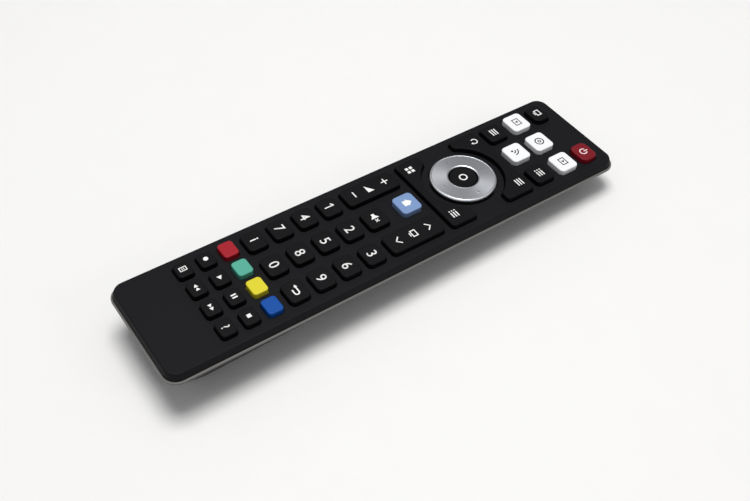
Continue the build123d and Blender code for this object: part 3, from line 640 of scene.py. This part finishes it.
# %% Print the player's signs
small_signs = {
    "info": [(blob, 0, 1.45, 0.36), (bar, 0, -0.4, 2.4, STROKE, 90)],
    "back": [(head, -1.7, 0.9, 0.8, 180), (bar, -0.1, 0.9, 2.4),
             (arc, 1.1, 0.0, 0.9, STROKE, -90, 180), (bar, 0.2, -0.9, 1.8)],
    "record": [(blob, 0, 0, 0.95)],
    "play": [(head, 0, 0, 1.2, 0)],
    "pause": [(bar, x, 0, 2.0, 0.62, 90) for x in (-0.62, 0.62)],
    "stop": [(bar, 0, 0, 1.6, 1.6)],
    "rewind": [(head, x, 0, 0.95, 180) for x in (-0.75, 0.85)],
    "forward": [(head, x, 0, 0.95, 0) for x in (-0.85, 0.75)],
    "page": [(outline, 2.1, 2.9, 0.34), (bar, 0, 0.35, 0.9, 0.3), (bar, 0, -0.35, 0.9, 0.3)],
    "help": [(numeral, "?", 3.2)],
}
for name, strokes in small_signs.items():
    print_sign(f"{name}_sign", f"{name}_key", white_ink, strokes)
print("small signs", len(small_signs))

# %% [markdown]
# ### Rockers, power, mute and sources
# The volume rocker has a plus, a rising wedge and a minus, and the channel rocker two chevrons
# with a screen between them. The white keys pick a source, so they carry plain source signs in
# black ink.

# %% Draw the larger signs
PLUS_SPAN = 3.1
PLUS_STROKE = 0.5
ROW_SPACING = 1.15

rows = (-ROW_SPACING, 0, ROW_SPACING)
plus_arm = (PLUS_SPAN - PLUS_STROKE) / 2
minus = [(bar, 0, 0, PLUS_SPAN, PLUS_STROKE)]
plus = minus + [(bar, 0, side * (PLUS_STROKE + plus_arm) / 2, plus_arm, PLUS_STROKE, 90)
                for side in (-1, 1)]
wedge = [(polygon, (-1.9, -1.3), (1.9, -1.3), (1.9, 1.5))]
up = [(chevron, 0, 0.5, 2.7, 90)]
down = [(chevron, 0, -0.5, 2.7, -90)]
screen = [(outline, 3.4, 2.4), (bar, 0, -1.75, 1.8, 0.4)]
power = [(arc, 0, -0.15, 1.45, 0.48, 122, 296), (bar, 0, 1.05, 1.9, 0.48, 90)]
mute = [(bar, -1.55, 0, 1.0, 1.3),
        (polygon, (-1.05, -0.65), (0.35, -1.75), (0.35, 1.75), (-1.05, 0.65)),
        (bar, 1.65, 0, 1.9, 0.42, -45), (bar, 1.65, 0, 1.9, 0.42, 45)]
circle = [(arc, 0, 0, 1.5, 0.55)]
home = [(blob, 0, 0.75, 2.2, 3, 0.0, (1, 0.6)), (bar, 0, -0.8, 2.8, 1.75)]
lines = [(bar, 0, y, 3.6, 0.5) for y in rows]
bullets = [stroke for y in rows for stroke in ((blob, -1.6, y, 0.32, 12), (bar, 0.5, y, 2.7, 0.5))]
grid = [(bar, x, y, 1.3, 1.3) for x in (-0.95, 0.95) for y in (-0.95, 0.95)]
inward = [(outline, 4.0, 3.2, 0.42), (head, 0, 0.05, 0.85, -90)]
film = [(outline, 4.0, 3.0, 0.42), (head, 0, 0, 0.85, 0)]
dish = [(arc, -1.2, -1.2, 1.4, 0.5, 0, 90), (arc, -1.2, -1.2, 2.6, 0.5, 0, 90),
        (blob, -1.2, -1.2, 0.5)]
disc = [(arc, 0, 0, 1.8, 0.5), (arc, 0, 0, 0.6, 0.4)]
turn_back = [(arc, 0, 0, 1.3, 0.45, -60, 280), (head, 0.75, -1.25, 0.75, 20)]
print("strokes in the mute sign", len(mute))

# %% [markdown]
# The last two numbers of a row move a sign from the middle of its key, because a rocker and a
# curved key carry more than one.

# %% Print the larger signs
large_signs = [
    ("power_sign", "power_key", pale_ink, power, 0, 0),
    ("tv_sign", "tv_key", white_ink, screen, 0, 0.2),
    ("mute_sign", "mute_key", white_ink, mute, 0, 0),
    ("ok_sign", "ok_key", white_ink, circle, 0, 0),
    ("home_sign", "home_key", white_ink, home, 0, 0),
    ("text_sign", "text_key", white_ink, lines, 0, 0),
    ("list_sign", "list_key", white_ink, bullets, 0, 0),
    ("source_left_sign", "source_key_left", black_ink, inward, 0, 0),
    ("source_middle_sign", "source_key_middle", black_ink, disc, 0, 0),
    ("source_right_sign", "source_key_right", black_ink, film, 0, 0),
    ("source_lower_sign", "source_key_lower", black_ink, dish, 0, 0),
    ("volume_plus_sign", "volume_rocker", white_ink, plus, 0, 7.0),
    ("volume_wedge_sign", "volume_rocker", white_ink, wedge, 0, -0.4),
    ("volume_minus_sign", "volume_rocker", white_ink, minus, 0, -7.3),
    ("channel_up_sign", "channel_rocker", white_ink, up, 0, 6.6),
    ("channel_screen_sign", "channel_rocker", white_ink, screen, 0, 0.2),
    ("channel_down_sign", "channel_rocker", white_ink, down, 0, -6.6),
    ("upper_left_sign", "arch_key_upper", white_ink, turn_back, -14.4, 3.1),
    ("upper_right_sign", "arch_key_upper", white_ink, lines, 14.4, 3.1),
    ("lower_left_sign", "arch_key_lower", white_ink, grid, -14.5, -1.7),
    ("lower_right_sign", "arch_key_lower", white_ink, bullets, 14.5, -1.7),
]
for name, key, ink, strokes, x, y in large_signs:
    print_sign(name, key, ink, strokes, x, y)
print("large signs", len(large_signs))

# %% [markdown]
# ## Table and light
# The remote lies on a plain pale table. One large soft lamp hangs almost overhead, so the sides of
# the keys stay dark and the shadow keeps close to the body. It is well away from where the flat
# keys would mirror it, or their black would turn grey. A weaker lamp farther back lights the far
# edges, and a small low one on the right draws a thin line of light along the rounded edges.

# %% The table
TABLE_SIZE = 3.0
table_sheet = bmesh.new()
bmesh.ops.create_grid(table_sheet, x_segments=1, y_segments=1, size=TABLE_SIZE / 2)
table_paint = moulded("paint_rolled_white", "#efeeec", 6.0, 0.02, 0.6, ior=1.5, mottle=0.01)
table_top = mesh_object("table", table_sheet, table_paint)
print("table", TABLE_SIZE, "m wide")

# %% Lamps and sky
SKY_COLOUR = "#f4f5f8"
SKY_STRENGTH = 0.34


def soft_lamp(name, place, size, watts):
    """A square area lamp that points at the remote, with its place and size in metres."""
    lamp_data = bpy.data.lights.new(name, "AREA")
    lamp_data.shape = "SQUARE"
    lamp_data.size = size
    lamp_data.energy = watts
    lamp = bpy.data.objects.new(name, lamp_data)
    bpy.context.scene.collection.objects.link(lamp)
    turn = (-Vector(place)).to_track_quat("-Z", "Y").to_matrix().to_4x4()
    lamp.matrix_world = Matrix.Translation(place) @ turn


soft_lamp("window_lamp", (-0.12, 0.05, 1.25), 0.6, 11.6)
soft_lamp("back_lamp", (0.05, 0.3, 1.4), 0.8, 2)
soft_lamp("edge_lamp", (0.9, 0.5, 0.65), 0.3, 0.8)
world = bpy.data.worlds.new("studio")
bpy.context.scene.world = world
world.use_nodes = True
background = world.node_tree.nodes["Background"]
background.inputs["Color"].default_value = linear(SKY_COLOUR)
background.inputs["Strength"].default_value = SKY_STRENGTH
bpy.context.scene.view_settings.view_transform = "Standard"
print("lamps", len(bpy.data.lights))
